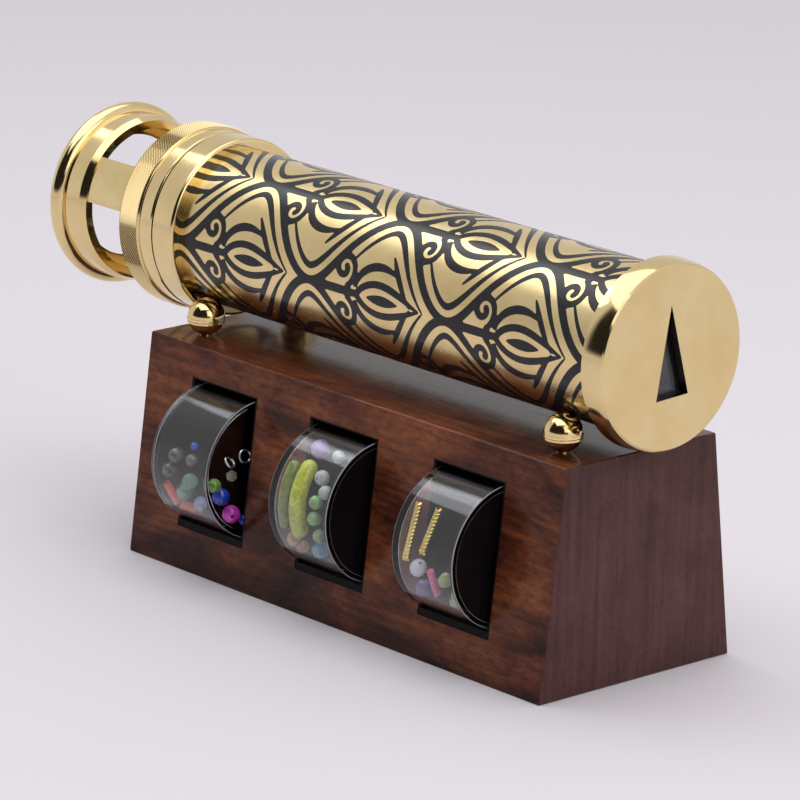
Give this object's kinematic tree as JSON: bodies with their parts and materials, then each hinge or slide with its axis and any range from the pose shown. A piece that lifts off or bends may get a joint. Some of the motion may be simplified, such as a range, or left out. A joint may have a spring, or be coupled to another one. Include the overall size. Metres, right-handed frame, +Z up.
{
  "type": "brass kaleidoscope",
  "caption": "Brass tube kaleidoscope with a turning windowed end, resting on a wooden block whose front pockets hold spare object cells.",
  "frame": {"origin": "middle of the base's underside", "axes": "+X along the tube towards the eyepiece, -Y towards the front with the pockets, +Z up"},
  "size_m": [0.26, 0.0897, 0.1323],
  "materials": {
    "rosewood": "satin oiled",
    "black_liner": "matte",
    "polished_brass": "polished",
    "bronze": "plain",
    "mirror_glass": "polished",
    "clear_glass": "polished",
    "clear_acrylic": "polished",
    "black_acrylic": "gloss",
    "black_card": "matte",
    "cork_disc": "matte",
    "green_felt": "felt",
    "blue_glass": "polished",
    "pink_glass": "polished",
    "green_glass": "polished",
    "teal_glass": "polished",
    "smoke_glass": "polished",
    "lilac_glass": "polished",
    "coral_plastic": "gloss",
    "silver_wire": "polished",
    "yellow_plastic": "gloss",
    "olive_plastic": "gloss",
    "purple_glass": "polished",
    "pale_glass": "polished",
    "leaf_glass": "polished",
    "sky_glass": "cut",
    "peach_glass": "polished",
    "gold_wire": "polished",
    "pearl": "lustre",
    "violet_glass": "polished",
    "pink_plastic": "gloss",
    "lime_glass": "cut"
  },
  "bodies": {
    "stand": {"wood_base": "rosewood", "base_felt": "green_felt", "cell_cradle_1": "black_liner", "cell_cradle_2": "black_liner", "cell_cradle_3": "black_liner", "ball_rest_1": "polished_brass", "ball_rest_2": "polished_brass", "ball_rest_3": "polished_brass", "ball_rest_4": "polished_brass"},
    "scope": {"barrel_tube": "polished_brass", "eyepiece_cap": "polished_brass", "eyepiece_glass": "clear_glass", "mirror_front": "mirror_glass", "mirror_back": "mirror_glass", "black_panel": "black_card", "prism_disc_1": "cork_disc", "prism_disc_2": "cork_disc", "prism_disc_3": "cork_disc", "tube_collar": "polished_brass", "object_glass": "clear_glass", "glass_retainer": "black_acrylic"},
    "end_bush": {"bearing_bush": "bronze"},
    "object_end": {"knurled_ring": "polished_brass", "cage_tube": "polished_brass", "end_flange": "polished_brass"},
    "cell_1": {"cell_1_drum": "clear_acrylic", "cell_1_end_disc": "black_acrylic", "cell_1_blue_beads": "blue_glass", "cell_1_pink_bead": "pink_glass", "cell_1_green_bead": "green_glass", "cell_1_teal_beads": "teal_glass", "cell_1_smoke_beads": "smoke_glass", "cell_1_lilac_bead": "lilac_glass", "cell_1_coral_sticks": "coral_plastic", "cell_1_wire_rings": "silver_wire"},
    "cell_2": {"cell_2_drum": "clear_acrylic", "cell_2_end_disc": "black_acrylic", "cell_2_yellow_tube": "yellow_plastic", "cell_2_green_tube": "olive_plastic", "cell_2_purple_bead": "purple_glass", "cell_2_pale_beads": "pale_glass", "cell_2_leaf_beads": "leaf_glass", "cell_2_blue_crystal": "sky_glass", "cell_2_peach_beads": "peach_glass"},
    "cell_3": {"cell_3_drum": "clear_acrylic", "cell_3_end_disc": "black_acrylic", "cell_3_gold_rods": "gold_wire", "cell_3_pearl_bead": "pearl", "cell_3_violet_bead": "violet_glass", "cell_3_pink_stick": "pink_plastic", "cell_3_green_crystals": "lime_glass"}
  },
  "joints": [
    {"name": "scope_lift", "type": "slide", "parent": "stand", "child": "scope", "axis": [0, 0, 1], "range_m": [0, 0.06]},
    {"name": "end_pull", "type": "slide", "parent": "scope", "child": "end_bush", "axis": [-1, 0, 0], "range_m": [0, 0.05]},
    {"name": "end_turn", "type": "hinge", "parent": "end_bush", "child": "object_end", "pos_m": [-0.11, 0, 0.10225], "axis": [1, 0, 0], "continuous": true},
    {"name": "cell_1_slide", "type": "slide", "parent": "stand", "child": "cell_1", "axis": [0, -0.9929, 0.1187], "range_m": [0, 0.045]},
    {"name": "cell_2_slide", "type": "slide", "parent": "stand", "child": "cell_2", "axis": [0, -0.9929, 0.1187], "range_m": [0, 0.045]},
    {"name": "cell_3_slide", "type": "slide", "parent": "stand", "child": "cell_3", "axis": [0, -0.9929, 0.1187], "range_m": [0, 0.045]}
  ]
}
